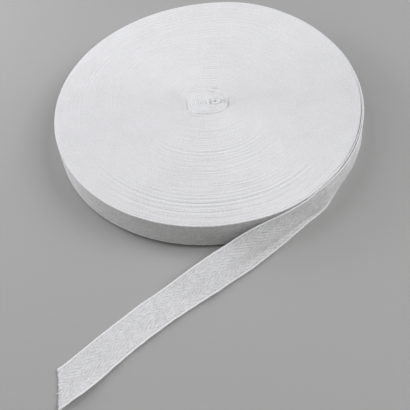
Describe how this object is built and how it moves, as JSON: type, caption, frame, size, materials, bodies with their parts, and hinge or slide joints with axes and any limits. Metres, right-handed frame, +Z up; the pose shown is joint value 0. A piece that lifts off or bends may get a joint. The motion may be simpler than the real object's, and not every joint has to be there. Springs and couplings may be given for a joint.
{
  "type": "roll of twill tape",
  "caption": "Roll of white cotton herringbone tape wound flat into a disc, lying on its side with its loose end run out in front.",
  "frame": {"origin": "on the roll's axis, at the middle of its flat underside, which rests on the surface", "axes": "+Z up along the roll's axis; the loose end leaves on the +X side and runs out towards -Y and -X"},
  "size_m": [0.1982, 0.2863, 0.0203],
  "materials": {
    "cotton_tape": "matte"
  },
  "bodies": {
    "root": {"wound_roll": "cotton_tape", "loose_end": "cotton_tape"}
  },
  "joints": []
}
